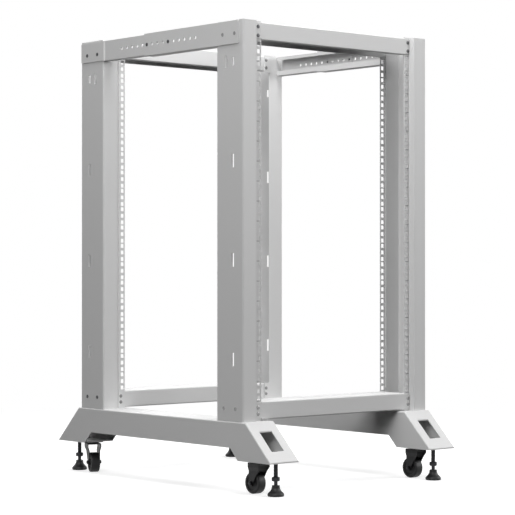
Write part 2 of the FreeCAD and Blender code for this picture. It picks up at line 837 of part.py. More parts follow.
def levelling_foot(corner, x, y):
    """Threaded stud with its hex nut, standing in a stepped cone pad."""
    name = corner + "_levelling_stud"
    stud = primitive("Cylinder", name + "_stem", {
        "Radius": stud_radius,
        "Height": foot_bottom + foot_plate_thick + weld_nut_height + stud_above_plate - nut_bottom,
    }, (zero, zero, nut_bottom))
    neck = primitive("Cylinder", name + "_neck", {
        "Radius": neck_radius, "Height": nut_bottom - pad_height + nut_height / 2,
    }, (zero, zero, pad_height))
    nut = primitive("Prism", name + "_nut", {
        "Circumradius": nut_width / root_of(as_size(3)), "Height": nut_height,
    }, (zero, zero, nut_bottom))
    nut.Polygon = 6
    part = doc.addObject("Part::MultiFuse", name)
    part.Label = name
    part.Shapes = [neck, nut, stud]
    place(part, x, y, 0)
    nodes.append(part)

    name = corner + "_levelling_pad"
    body = new_body(name, Vector(x, y, 0))
    profile = new_sketch(body, name + "_profile", "XZ_Plane")
    draw_outline(profile, [
        (zero, zero),
        (pad_radius, zero),
        (pad_radius, pad_rim),
        (pad_collar_radius, pad_cone_top),
        (pad_collar_radius, pad_height),
        (zero, pad_height),
    ])
    turned = body.newObject("PartDesign::Revolution", name + "_turned")
    turned.Profile = profile
    turned.ReferenceAxis = (profile, ["V_Axis"])
    turned.Angle = 360.0
    doc.recompute()
    nodes.append(body)


for corner, (side, end) in CORNERS.items():
    x = side * beam_centre.number
    castor_y = end * (beam_length.number / 2 - castor_inset.number)
    stud_y = end * (beam_length.number / 2 - stud_inset.number)
    castor_plate(corner + "_castor_plate", x, castor_y)
    castor_fork(corner + "_castor_fork", x, castor_y, CASTOR_HEADING[corner])
    castor_wheel(corner + "_castor_wheel", x, castor_y, CASTOR_HEADING[corner])
    levelling_foot(corner, x, stud_y)


# ----------------------------------------------------------------------------- check and write

doc.recompute()
for thing in doc.Objects:
    if "Invalid" in thing.State or "Error" in thing.State:
        raise RuntimeError("%s failed: %s" % (thing.Name, thing.State))

os.makedirs("parts", exist_ok=True)
for part in nodes:
    shape = part.Shape
    if shape.isNull() or not shape.isValid():
        raise RuntimeError("%s has no valid shape" % part.Label)
    shape.exportStep("parts/%s.step" % part.Label)
    box = shape.BoundBox
    print("%-30s %9.0f mm3  x %7.1f %7.1f  y %7.1f %7.1f  z %7.1f %7.1f  solids %d" % (
        part.Label, shape.Volume, box.XMin, box.XMax, box.YMin, box.YMax, box.ZMin, box.ZMax,
        len(shape.Solids)))
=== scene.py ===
"""Dresses the four post open frame rack: finishes, screws, unit marks, threads and castor detail.

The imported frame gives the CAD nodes, the outer faces of the posts and the places of the feet and
wheels.  The screws and the marks stand at named sizes from those.  This script adds what sits on
the nodes, and the stage, the lights and the camera.  Lengths in the classes are millimetres unless
the name ends in _m, and angles are degrees.
"""

import json
import logging
import math
from abc import ABC, abstractmethod
from dataclasses import dataclass, field
from enum import Enum
from typing import Any, Iterable, Mapping, Sequence

import bmesh
import bpy
from mathutils import Matrix, Vector


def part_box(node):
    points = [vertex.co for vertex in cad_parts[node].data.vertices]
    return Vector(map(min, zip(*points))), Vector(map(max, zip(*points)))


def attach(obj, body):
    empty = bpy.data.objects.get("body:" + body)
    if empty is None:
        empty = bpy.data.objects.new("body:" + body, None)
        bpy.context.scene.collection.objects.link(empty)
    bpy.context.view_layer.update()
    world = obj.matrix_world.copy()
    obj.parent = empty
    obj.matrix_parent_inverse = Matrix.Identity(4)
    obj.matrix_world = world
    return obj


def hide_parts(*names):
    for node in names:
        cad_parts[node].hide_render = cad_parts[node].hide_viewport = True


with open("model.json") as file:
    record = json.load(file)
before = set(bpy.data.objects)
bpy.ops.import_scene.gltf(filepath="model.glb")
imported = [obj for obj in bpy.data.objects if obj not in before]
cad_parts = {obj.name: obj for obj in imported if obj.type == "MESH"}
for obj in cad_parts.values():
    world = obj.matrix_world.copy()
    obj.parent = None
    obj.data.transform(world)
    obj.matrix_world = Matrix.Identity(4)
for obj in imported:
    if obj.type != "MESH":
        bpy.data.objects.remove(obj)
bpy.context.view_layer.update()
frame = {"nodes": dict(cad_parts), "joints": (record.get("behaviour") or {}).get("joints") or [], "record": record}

LOG = logging.getLogger("rack")
MM = 0.001
ROOT_BODY = "frame"
SMOOTH_ANGLE = 30.0
# A radius up to this many millimetres is a point on the axis.
ON_AXIS = 1e-6
# Points closer than this many metres are one.
WELD_M = 1e-7

Point = tuple[float, float, float]
Colour = tuple[float, float, float, float]
Outline = Sequence[tuple[float, float]]
Ring = list[bmesh.types.BMVert]

WHITE: Colour = (1.0, 1.0, 1.0, 1.0)
SRGB_KNEE, SRGB_SLOPE, SRGB_OFFSET, SRGB_POWER = 0.04045, 12.92, 0.055, 2.4
# A noise seldom leaves this stretch of its 0 to 1, so a gloss is spread over it.
NOISE_LOW, NOISE_HIGH = 0.3, 0.7
# How many finer layers the wander's and the grain's noise have, and how strong each of the grain's
# is beside the one before it.
WANDER_DETAIL, GRAIN_DETAIL, GRAIN_PERSISTENCE = 3.0, 2.0, 0.55


class Corner(Enum):
    """The four corners of the rack, each with its side (x) and end (y) signs."""

    FRONT_LEFT = ("front_left", -1, -1)
    FRONT_RIGHT = ("front_right", 1, -1)
    REAR_LEFT = ("rear_left", -1, 1)
    REAR_RIGHT = ("rear_right", 1, 1)

    @property
    def label(self) -> str:
        """Name that the corner's nodes and bodies start with."""
        return self.value[0]

    @property
    def side(self) -> int:
        """-1 on the left, 1 on the right."""
        return self.value[1]

    @property
    def end(self) -> int:
        """-1 at the front, 1 at the rear."""
        return self.value[2]

    @property
    def full_back(self) -> bool:
        """Whether the post carries a second hole strip on its inward flange."""
        return self.side != self.end


# ------------------------------------------------------------------------------ node helpers

def linear(code: str) -> Colour:
    """Turn an sRGB hex colour into linear light.

    Args:
        code: six hex digits after a hash sign.

    Returns:
        Red, green and blue in linear light, and an alpha of 1.
    """
    parts = [int(code[i:i + 2], 16) / 255 for i in (1, 3, 5)]
    red, green, blue = (c / SRGB_SLOPE if c <= SRGB_KNEE
                        else ((c + SRGB_OFFSET) / (1 + SRGB_OFFSET)) ** SRGB_POWER for c in parts)
    return (red, green, blue, 1.0)


def add_node(tree: bpy.types.NodeTree, kind: str, settings: Mapping[str, Any] | None = None,
             values: Mapping[Any, Any] | None = None,
             links: Mapping[Any, bpy.types.NodeSocket] | None = None) -> bpy.types.Node:
    """Add one node to a tree, with its settings, input values and links.

    Args:
        tree: shader or geometry tree.
        kind: the node's type name.
        settings: attributes of the node.
        values: input name or number to its value.
        links: input name or number to the output that feeds it.

    Returns:
        The new node.
    """
    node = tree.nodes.new(kind)
    for key, value in (settings or {}).items():
        setattr(node, key, value)
    for key, value in (values or {}).items():
        node.inputs[key].default_value = value
    for key, source in (links or {}).items():
        tree.links.new(source, node.inputs[key])
    return node


def plainly_seen(tree: bpy.types.NodeTree) -> bpy.types.NodeSocket:
    """Tell the rays that a viewer follows from the light that only bounces about.

    Args:
        tree: shader tree of a material or the world.

    Returns:
        An output that is 1 from the camera, in a reflection and through glass, and otherwise 0.
    """
    path = add_node(tree, "ShaderNodeLightPath")
    seen = path.outputs["Is Camera Ray"]
    for ray in ("Is Glossy Ray", "Is Transmission Ray"):
        seen = add_node(tree, "ShaderNodeMath", {"operation": "MAXIMUM"},
                        links={0: seen, 1: path.outputs[ray]}).outputs[0]
    return seen


def geometry_tree(name: str, inputs: Mapping[str, str]
                  ) -> tuple[bpy.types.NodeTree, bpy.types.Node, dict[str, str]]:
    """Start a Geometry Nodes tree with named inputs and one geometry output.

    Args:
        name: the tree's name.
        inputs: each input's name, and its kind of socket, such as Float.

    Returns:
        The tree, its group input node, and the identifier of each named input.
    """
    tree = bpy.data.node_groups.new(name, "GeometryNodeTree")
    face = tree.interface
    names = {label: face.new_socket(label, in_out="INPUT",
                                    socket_type="NodeSocket" + kind).identifier
             for label, kind in inputs.items()}
    face.new_socket("Geometry", in_out="OUTPUT", socket_type="NodeSocketGeometry")
    return tree, add_node(tree, "NodeGroupInput"), names


def end_tree(tree: bpy.types.NodeTree, shape: bpy.types.NodeSocket, finish: bpy.types.NodeSocket
             ) -> None:
    """End a Geometry Nodes tree: make its copies real, set their finish and put them out.

    Args:
        tree: the tree.
        shape: output that holds the geometry.
        finish: output that holds the material.
    """
    solid = add_node(tree, "GeometryNodeRealizeInstances", links={"Geometry": shape})
    painted = add_node(tree, "GeometryNodeSetMaterial",
                       links={"Geometry": solid.outputs[0], "Material": finish})
    add_node(tree, "NodeGroupOutput", links={0: painted.outputs[0]})


# ---------------------------------------------------------------------------------- finishes

@dataclass(frozen=True)
class Finish(ABC):
    """A finish that a maker would name, built once as a node material."""

    name: str
    colour: str

    def material(self) -> bpy.types.Material:
        """Give the finish's material, made on first use.

        Returns:
            The one material of this finish.
        """
        found = bpy.data.materials.get(self.name)
        if found is not None:
            return found
        material = bpy.data.materials.new(self.name)
        material.use_nodes = True
        material.node_tree.nodes.clear()
        self.dress(material.node_tree)
        material.diffuse_color = linear(self.colour)
        return material

    @abstractmethod
    def dress(self, tree: bpy.types.NodeTree) -> None:
        """Fill the material's node tree."""


@dataclass(frozen=True)
class GrainedFinish(Finish):
    """Colour that wanders a little, over a fine surface grain that breaks up the gloss.

    The grain is a noise whose features are grain_mm across, the wander one of wander_mm.  The
    colour strays by the share wander to either side, and the roughness, which sets the gloss, by
    the amount gloss_wander.
    """

    roughness: float
    metallic: float = 0.0
    ior: float = 1.5
    grain_mm: float = 1.5
    grain_depth_mm: float = 0.02
    wander_mm: float = 160.0
    wander: float = 0.02
    gloss_wander: float = 0.05

    def dress(self, tree: bpy.types.NodeTree) -> None:
        """Fill the material's node tree.

        Args:
            tree: the material's empty tree.
        """
        place = add_node(tree, "ShaderNodeTexCoord").outputs["Object"]
        wander = add_node(tree, "ShaderNodeTexNoise",
                          values={"Scale": 1 / (self.wander_mm * MM), "Detail": WANDER_DETAIL},
                          links={"Vector": place})
        grain = add_node(tree, "ShaderNodeTexNoise",
                         values={"Scale": 1 / (self.grain_mm * MM), "Detail": GRAIN_DETAIL,
                                 "Roughness": GRAIN_PERSISTENCE},
                         links={"Vector": place})
        base = linear(self.colour)
        shades = [tuple(min(1.0, c * k) for c in base[:3]) + (1.0,)
                  for k in (1 - self.wander, 1 + self.wander)]
        # The colour sockets of a Mix node are its inputs 6 and 7 and its output 2.
        tone = add_node(tree, "ShaderNodeMix", {"data_type": "RGBA"},
                        {6: shades[0], 7: shades[1]}, {0: wander.outputs["Fac"]})
        rough = add_node(tree, "ShaderNodeMapRange",
                         values={"From Min": NOISE_LOW, "From Max": NOISE_HIGH,
                                 "To Min": max(0.0, self.roughness - self.gloss_wander),
                                 "To Max": min(1.0, self.roughness + self.gloss_wander)},
                         links={"Value": grain.outputs["Fac"]})
        bump = add_node(tree, "ShaderNodeBump",
                        values={"Strength": 1.0, "Distance": self.grain_depth_mm * MM},
                        links={"Height": grain.outputs["Fac"]})
        surface = add_node(tree, "ShaderNodeBsdfPrincipled",
                           values={"Metallic": self.metallic, "IOR": self.ior},
                           links={"Base Color": tone.outputs[2],
                                  "Roughness": rough.outputs["Result"],
                                  "Normal": bump.outputs["Normal"]})
        add_node(tree, "ShaderNodeOutputMaterial", links={"Surface": surface.outputs["BSDF"]})


# Polyester powder coat, cured on bent steel: low satin, with a faint orange peel.  The real peel
# is about 0.8 mm across; it is drawn at 2 mm so that it still shows on a rack a metre high.
POWDER_COAT = GrainedFinish("light_grey_powder_coat", "#D1D1D1", 0.56, ior=1.4, grain_mm=2.0,
                            grain_depth_mm=0.012, wander_mm=220.0, wander=0.012)
# Stoved enamel on pressed steel, the castors' plates and forks: black, a little glossier than the
# plastics beside it.
BLACK_ENAMEL = GrainedFinish("black_stoved_enamel", "#0E0E0F", 0.38, ior=1.33, grain_mm=1.2,
                             grain_depth_mm=0.015, wander_mm=18.0, wander=0.10)
# Black zinc plating on machined steel, the studs, nuts and axle bolts: a dark metal with soft
# highlights.
BLACK_ZINC = GrainedFinish("black_zinc_plating", "#303032", 0.34, metallic=1.0, grain_mm=0.6,
                           grain_depth_mm=0.01, wander_mm=6.0, wander=0.12)
# Dark chromate over zinc, on the screws at the headers, the rear posts' sides and the beam joints:
# a mid grey metal that reads darker than the coat round it.
DARK_ZINC = GrainedFinish("dark_chromated_zinc", "#515153", 0.38, metallic=1.0, grain_mm=0.6,
                          grain_depth_mm=0.01, wander_mm=6.0, wander=0.10)
# Clear zinc plating, on the screws at the crossbars, behind the strips and in the front posts'
# sides: a lighter grey metal, which stands out less from the coat.
CLEAR_ZINC = GrainedFinish("clear_zinc_plating", "#878787", 0.45, metallic=1.0, grain_mm=0.6,
                           grain_depth_mm=0.01, wander_mm=6.0, wander=0.08)
# Injection moulded nylon: the wheels, satin with the faint grain of the mould.
BLACK_NYLON = GrainedFinish("moulded_black_nylon", "#0C0C0D", 0.45, ior=1.35, grain_mm=0.8,
                            grain_depth_mm=0.02, wander_mm=12.0, wander=0.12)
# Moulded polypropylene: the levelling pads, as satin as the wheels and a shade less black.
BLACK_PLASTIC = GrainedFinish("moulded_black_polypropylene", "#121213", 0.45, ior=1.4,
                              grain_mm=0.9, grain_depth_mm=0.03, wander_mm=14.0, wander=0.12)
# Pad-printed ink on the powder coat: thin matt dashes, a good deal darker than the coat.
MARK_INK = GrainedFinish("printed_grey_ink", "#7E8081", 0.6, grain_mm=1.0,
                         grain_depth_mm=0.005, wander_mm=20.0, wander=0.05)

NODE_FINISH: dict[str, GrainedFinish] = {
    "powder_coated_steel": POWDER_COAT,
    "black_painted_steel": BLACK_ENAMEL,
    "black_plated_steel": BLACK_ZINC,
    "black_castor_plastic": BLACK_NYLON,
    "black_foot_plastic": BLACK_PLASTIC,
}


def dress_nodes() -> None:
    """Give every carried-over CAD node the finish of its material slot."""
    for part in frame["record"]["subparts"]:
        node = frame["nodes"][part["node"]]
        material = NODE_FINISH[part["material_slot"]].material()
        for slot in node.material_slots:
            slot.material = material
        LOG.info("dressed %s in %s", part["node"], material.name)


# ------------------------------------------------------------------------------ mesh helpers

def mesh_piece(name: str, mesh: bmesh.types.BMesh, finish: Finish, smooth: float = SMOOTH_ANGLE
               ) -> bpy.types.Object:
    """Turn a bmesh into an object with its finish, smooth up to an angle.

    Args:
        name: the new object's name.
        mesh: shape in metres, in the frame's own axes; it is freed.
        finish: finish of the whole piece.
        smooth: edges flatter than this angle are shaded smooth.

    Returns:
        The object, at the origin.
    """
    bmesh.ops.recalc_face_normals(mesh, faces=mesh.faces)
    most = math.radians(smooth)
    for face in mesh.faces:
        face.smooth = True
    for edge in mesh.edges:
        edge.smooth = len(edge.link_faces) == 2 and edge.calc_face_angle(0.0) < most
    data = bpy.data.meshes.new(name)
    mesh.to_mesh(data)
    mesh.free()
    data.materials.append(finish.material())
    piece = bpy.data.objects.new(name, data)
    bpy.context.scene.collection.objects.link(piece)
    return piece


def seat(piece: bpy.types.Object, body: str, slot: str = "", *nodes: str) -> None:
    """Put a piece on its body and hide the CAD nodes that it stands for.

    Args:
        piece: finished object.
        body: the CAD body that it moves with.
        slot: not used; the record's material slot, or nothing where no slot has the piece's finish.
        nodes: the CAD nodes that it replaces, if any.
    """
    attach(piece, body)
    if nodes:
        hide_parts(*nodes)
    LOG.info("piece %s on %s, %d faces", piece.name, body, len(piece.data.polygons))


def box_mm(node: str) -> tuple[list[float], list[float]]:
    """Give a CAD node's lowest and highest corners in millimetres."""
    low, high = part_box(node)
    return [v / MM for v in low], [v / MM for v in high]


def ring(shape: bmesh.types.BMesh, reaches: Sequence[float], height: float) -> Ring:
    """Add one ring of points round Z, evenly turned.

    Args:
        shape: the mesh that gets the points.
        reaches: each point's distance from the axis, in millimetres; a single 0 is a pole.
        height: the ring's height in millimetres.

    Returns:
        The ring's points in order.
    """
    angles = [2 * math.pi * i / len(reaches) for i in range(len(reaches))]
    return [shape.verts.new((reach * MM * math.cos(a), reach * MM * math.sin(a), height * MM))
            for reach, a in zip(reaches, angles)]


def skin(shape: bmesh.types.BMesh, rings: Sequence[Ring]) -> None:
    """Span faces between each ring and the next, down to a point at a pole.

    Args:
        shape: the mesh that holds the rings.
        rings: full rings of one count, and poles.
    """
    steps = max(len(one) for one in rings)
    for low, high in zip(rings, rings[1:]):
        for i in range(steps):
            j = (i + 1) % steps
            corners = [low[i % len(low)], low[j % len(low)], high[j % len(high)],
                       high[i % len(high)]]
            shape.faces.new(list(dict.fromkeys(corners)))


def lathe(profile: Outline, steps: int, placed: Matrix) -> bmesh.types.BMesh:
    """Turn a profile round Z.

    Args:
        profile: (radius, height) pairs in millimetres, from one end of the axis to the other.
        steps: how many faces make the full turn.
        placed: where the turned shape goes, in metres.

    Returns:
        A closed shape if the profile starts and ends on the axis.
    """
    shape = bmesh.new()
    skin(shape, [ring(shape, [radius] * (steps if radius > ON_AXIS else 1), height)
                 for radius, height in profile])
    shape.transform(placed)
    return shape


def arc(centre: tuple[float, float], radius: float, start: float, stop: float, steps: int
        ) -> list[tuple[float, float]]:
    """Points of an arc in a profile.

    Args:
        centre: (radius, height) of the arc's centre.
        radius: the arc's radius.
        start: first angle, 0 pointing away from the axis.
        stop: last angle.
        steps: how many straight runs the arc has.

    Returns:
        The arc's points, both ends included.
    """
    angles = [math.radians(start + (stop - start) * i / steps) for i in range(steps + 1)]
    return [(centre[0] + radius * math.cos(a), centre[1] + radius * math.sin(a)) for a in angles]


def join_into(target: bmesh.types.BMesh, other: bmesh.types.BMesh) -> None:
    """Add another shape to a shape.

    Args:
        target: the shape that grows.
        other: the shape that goes in; it is freed.
    """
    data = bpy.data.meshes.new("joined")
    other.to_mesh(data)
    other.free()
    target.from_mesh(data)
    bpy.data.meshes.remove(data)


def hex_prism(across: float, height: float, chamfer: float, placed: Matrix
              ) -> bmesh.types.BMesh:
    """Hexagonal prism on Z with eased edges.

    Args:
        across: width across the flats, in millimetres.
        height: height in millimetres, from 0 up.
        chamfer: size of the eased edge.
        placed: where the prism goes, in metres.

    Returns:
        The prism.
    """
    shape = bmesh.new()
    radius = across / math.sqrt(3) * MM
    bmesh.ops.create_cone(shape, cap_ends=True, segments=6, radius1=radius, radius2=radius,
                          depth=height * MM)
    bmesh.ops.translate(shape, verts=shape.verts, vec=(0, 0, height * MM / 2))
    bmesh.ops.bevel(shape, geom=list(shape.edges), offset=chamfer * MM, segments=2,
                    affect="EDGES", profile=0.5)
    shape.transform(placed)
    return shape


# -------------------------------------------------------------------------- repeated pieces

def grown(carrier: bpy.types.Object, tree: bpy.types.NodeTree, names: Mapping[str, str],
          values: Mapping[str, Any]) -> bpy.types.Object:
    """Run a Geometry Nodes tree on an object and keep what it makes as a plain mesh.

    Args:
        carrier: the object whose mesh the tree starts from.
        tree: the tree.
        names: the identifier of each named input.
        values: the inputs to set, by name.

    Returns:
        The same object, with the tree's result as its mesh and no modifiers.
    """
    modifier = carrier.modifiers.new(tree.name, "NODES")
    modifier.node_group = tree
    for label, value in values.items():
        modifier[names[label]] = value
    bpy.context.view_layer.update()
    seen = carrier.evaluated_get(bpy.context.evaluated_depsgraph_get())
    plain = bpy.data.meshes.new_from_object(seen)
    plain.name = carrier.name
    carrier.modifiers.clear()
    carrier.data = plain
    return carrier


@dataclass(frozen=True)
class Spot:
    """Where one copy of a repeated shape stands, and the way its top points."""

    place: Point
    aim: Point


@dataclass
class Scatter:
    """Geometry Nodes tree that stands a copy of one shape on every spot of a base mesh."""

    name: str
    seed: int = 7
    twist: bool = True

    def tree(self) -> tuple[bpy.types.NodeTree, dict[str, str]]:
        """Build the tree.

        Returns:
            The tree, and the identifier of each named input.
        """
        tree, given, names = geometry_tree(self.name, {
            "Spots": "Geometry", "Shape": "Object", "Scale": "Float", "Seed": "Int",
            "Finish": "Material"})
        aim = add_node(tree, "GeometryNodeInputNamedAttribute", {"data_type": "FLOAT_VECTOR"},
                       {"Name": "aim"})
        turned = add_node(tree, "FunctionNodeAlignRotationToVector", {"axis": "Z"},
                          links={"Vector": aim.outputs["Attribute"]})
        # The number sockets of a Random Value node are its inputs 2 and 3 and its output 1.
        spin = add_node(tree, "FunctionNodeRandomValue", {"data_type": "FLOAT"},
                        {2: 0.0, 3: 2 * math.pi if self.twist else 0.0},
                        {"Seed": given.outputs["Seed"]})
        axis = add_node(tree, "ShaderNodeCombineXYZ", links={"Z": spin.outputs[1]})
        euler = add_node(tree, "FunctionNodeEulerToRotation", links={"Euler": axis.outputs[0]})
        whole = add_node(tree, "FunctionNodeRotateRotation", {"rotation_space": "LOCAL"},
                         links={"Rotation": turned.outputs[0], "Rotate By": euler.outputs[0]})
        shape = add_node(tree, "GeometryNodeObjectInfo", {"transform_space": "ORIGINAL"},
                         links={"Object": given.outputs["Shape"]})
        points = add_node(tree, "GeometryNodeMeshToPoints", links={"Mesh": given.outputs["Spots"]})
        copies = add_node(tree, "GeometryNodeInstanceOnPoints",
                          links={"Points": points.outputs[0], "Instance": shape.outputs["Geometry"],
                                 "Rotation": whole.outputs[0], "Scale": given.outputs["Scale"]})
        end_tree(tree, copies.outputs[0], given.outputs["Finish"])
        return tree, names

    def piece(self, shape: bmesh.types.BMesh, spots: Sequence[Spot], finish: Finish,
              smooth: float = SMOOTH_ANGLE) -> bpy.types.Object:
        """Make one mesh object that holds every copy.

        Args:
            shape: one copy, in metres, standing on the origin along Z; it is freed.
            spots: where the copies go.
            finish: finish of all copies.
            smooth: edges flatter than this angle are shaded smooth.

        Returns:
            The finished object, at the origin.
        """
        model = mesh_piece(self.name + "_shape", shape, finish, smooth)
        base = bpy.data.meshes.new(self.name + "_spots")
        base.from_pydata([spot.place for spot in spots], [], [])
        aim = base.attributes.new("aim", "FLOAT_VECTOR", "POINT")
        for number, spot in enumerate(spots):
            aim.data[number].vector = spot.aim
        carrier = bpy.data.objects.new(self.name, base)
        bpy.context.scene.collection.objects.link(carrier)
        tree, names = self.tree()
        result = grown(carrier, tree, names, {"Shape": model, "Scale": 1.0, "Seed": self.seed,
                                              "Finish": finish.material()})
        bpy.data.objects.remove(model)
        return result


# -------------------------------------------------------------------------------- the pieces

@dataclass(frozen=True)
class RackPattern:
    """Faces of the posts, from the frame, and the unit pattern that the rack is made to.

    The widths, depths and faces are distances from the rack's middle, and beam_top is the height
    of the foot beams' tops, where the posts stand.  The sheet is the wall of the bent parts, and
    the hole strips lie strip_setback behind the outward flanges.
    """

    half_width: float
    half_depth: float
    back_face: float
    beam_top: float
    sheet: float = 2.0
    strip_setback: float = 11.0
    unit: float = 44.45
    units: int = 18

    @classmethod
    def from_frame(cls) -> "RackPattern":
        """Read the posts' faces off the box of one post, the front right one.

        Returns:
            The pattern, with each face to a thousandth of a millimetre.
        """
        low, high = box_mm(Corner.FRONT_RIGHT.label + "_post")
        faces = (high[0], -low[1], -high[1], low[2])
        return cls(*(round(face, 3) for face in faces))

    @property
    def strip_face(self) -> float:
        """Outward face of the front and rear hole strips."""
        return self.half_depth - self.strip_setback


@dataclass
class UnitMarks:
    """Short printed dashes on the outward hole strips, one at each unit's boundary."""

    pattern: RackPattern
    centre: float = 235.2
    length: float = 10.4
    height: float = 1.3
    thickness: float = 0.12

    def dash(self) -> bmesh.types.BMesh:
        """Make one dash.

        Returns:
            A thin plate on the origin, its top along Z.
        """
        shape = bmesh.new()
        bmesh.ops.create_cube(shape, size=1.0)
        shape.transform(Matrix.Diagonal((self.length * MM, self.height * MM,
                                         self.thickness * MM, 1.0)))
        return shape

    def spots(self) -> list[Spot]:
        """Place the dashes, on both outward faces of the rack.

        Returns:
            One spot for each dash.
        """
        p = self.pattern
        heights = [p.beam_top + number * p.unit for number in range(1, p.units + 2)]
        return [Spot((corner.side * self.centre * MM, corner.end * p.strip_face * MM, height * MM),
                     (0.0, float(corner.end), 0.0))
                for corner in Corner for height in heights]

    def build(self) -> None:
        """Make the marks and seat them on the frame."""
        piece = Scatter("unit_marks", twist=False).piece(self.dash(), self.spots(), MARK_INK)
        seat(piece, ROOT_BODY, "powder_coated_steel")


@dataclass
class ScrewSet:
    """Low-head screws with hexagon sockets that hold the channels together.

    Rows are heights over the foot beams, columns are distances from the rack's middle, and insets
    are distances in from the posts' outward faces.  A post's inward side has its screws farther
    out where it carries a full strip.  The socket is measured across its flats, and the screws of
    the beam joints stand joint_reach before and behind the middle.
    """

    pattern: RackPattern
    head_radius: float = 4.3
    head_height: float = 1.1
    head_sides: int = 24
    rim_height: float = 0.5
    dome_angles: tuple[float, ...] = (22.0, 42.0, 58.0)
    socket: float = 3.4
    socket_depth: float = 0.8
    smooth: float = 25.0
    column: float = 236.2
    full_back_column: float = 237.0
    bare_back_column: float = 230.2
    header_rows: tuple[float, ...] = (877.0, 857.0)
    crossbar_rows: tuple[float, ...] = (30.6, 16.3)
    foot_row: float = 28.5
    foot_insets: tuple[float, ...] = (26.0, 66.0)
    front_beam_row: float = 859.5
    rear_beam_row: float = 855.5
    beam_insets: tuple[float, ...] = (27.0, 68.0)
    joint_row: float = 862.2
    joint_reach: float = 40.0

    def socket_wall(self) -> list[float]:
        """Find how far the hexagonal socket's wall is from the axis.

        Returns:
            The distance at each of the head's sides.
        """
        sixth = math.pi / 3
        turns = [2 * math.pi * i / self.head_sides for i in range(self.head_sides)]
        return [self.socket / 2 / math.cos((turn + sixth / 2) % sixth - sixth / 2)
                for turn in turns]

    def head(self) -> bmesh.types.BMesh:
        """Make one head: a low dome with a hexagonal socket.

        Returns:
            The head, standing on the origin.
        """
        shape = bmesh.new()
        crown = self.head_height - self.rim_height
        dome = [(self.head_radius, 0.0), (self.head_radius, self.rim_height)]
        dome += [(self.head_radius * math.cos(a), self.rim_height + crown * math.sin(a))
                 for a in map(math.radians, self.dome_angles)]
        rings = [ring(shape, [radius] * self.head_sides, height) for radius, height in dome]
        rings += [ring(shape, self.socket_wall(), height)
                  for height in (self.head_height, self.head_height - self.socket_depth)]
        skin(shape, rings)
        for end in (rings[-1], rings[0]):
            shape.faces.new(end)
        return shape

    def spot(self, x: float, y: float, row: float, aim: Point) -> Spot:
        """Place one screw, from millimetres off the middle and its row."""
        return Spot((x * MM, y * MM, (self.pattern.beam_top + row) * MM), aim)

    def side_spots(self, corner: Corner) -> list[Spot]:
        """Place the screws in the side of one post: two at its foot, two in the beam.

        Args:
            corner: the post's corner.

        Returns:
            Four spots, facing sideways.
        """
        p = self.pattern
        beam_row = self.front_beam_row if corner.end < 0 else self.rear_beam_row
        rows = ((p.half_width, self.foot_row, self.foot_insets),
                (p.half_width + p.sheet, beam_row, self.beam_insets))
        return [self.spot(corner.side * x, corner.end * (p.half_depth - inset), row,
                          (float(corner.side), 0.0, 0.0))
                for x, row, insets in rows for inset in insets]

    def tab_spots(self, corner: Corner, rows: Sequence[float]) -> list[Spot]:
        """Place the screws in a channel's tab, which lies on the outward hole strip.

        Args:
            corner: the post's corner.
            rows: the screws' rows.

        Returns:
            One spot a row, facing the front or the rear.
        """
        y = corner.end * (self.pattern.strip_face + self.pattern.sheet)
        aim = (0.0, float(corner.end), 0.0)
        return [self.spot(corner.side * self.column, y, row, aim) for row in rows]

    def back_spots(self, corner: Corner) -> list[Spot]:
        """Place the screws on the inward side of one post, at the header and the crossbar.

        Args:
            corner: the post's corner.

        Returns:
            Four spots, facing the rack's middle.
        """
        column = self.full_back_column if corner.full_back else self.bare_back_column
        y = corner.end * self.pattern.back_face
        aim = (0.0, float(-corner.end), 0.0)
        return [self.spot(corner.side * column, y, row, aim)
                for row in self.header_rows + self.crossbar_rows]

    def dark_spots(self) -> list[Spot]:
        """Place the dark screws: header ends, the rear posts' sides, the beam joints.

        Returns:
            One spot for each screw.
        """
        found: list[Spot] = []
        for corner in Corner:
            found += self.tab_spots(corner, self.header_rows)
            if corner.end > 0:
                found += self.side_spots(corner)
        x = self.pattern.half_width + self.pattern.sheet
        found += [self.spot(side * x, y, self.joint_row, (float(side), 0.0, 0.0))
                  for side in (-1, 1) for y in (-self.joint_reach, self.joint_reach)]
        return found

    def pale_spots(self) -> list[Spot]:
        """Place the pale screws: crossbar ends, behind the strips, front posts' sides.

        Returns:
            One spot for each screw.
        """
        found: list[Spot] = []
        for corner in Corner:
            found += self.tab_spots(corner, self.crossbar_rows)
            found += self.back_spots(corner)
            if corner.end < 0:
                found += self.side_spots(corner)
        return found

    def build(self) -> None:
        """Make the screws and seat them on the frame."""
        dark = Scatter("black_screws").piece(self.head(), self.dark_spots(), DARK_ZINC,
                                             self.smooth)
        seat(dark, ROOT_BODY, "black_plated_steel")
        pale = Scatter("bright_screws").piece(self.head(), self.pale_spots(), CLEAR_ZINC,
                                              self.smooth)
        seat(pale, ROOT_BODY)


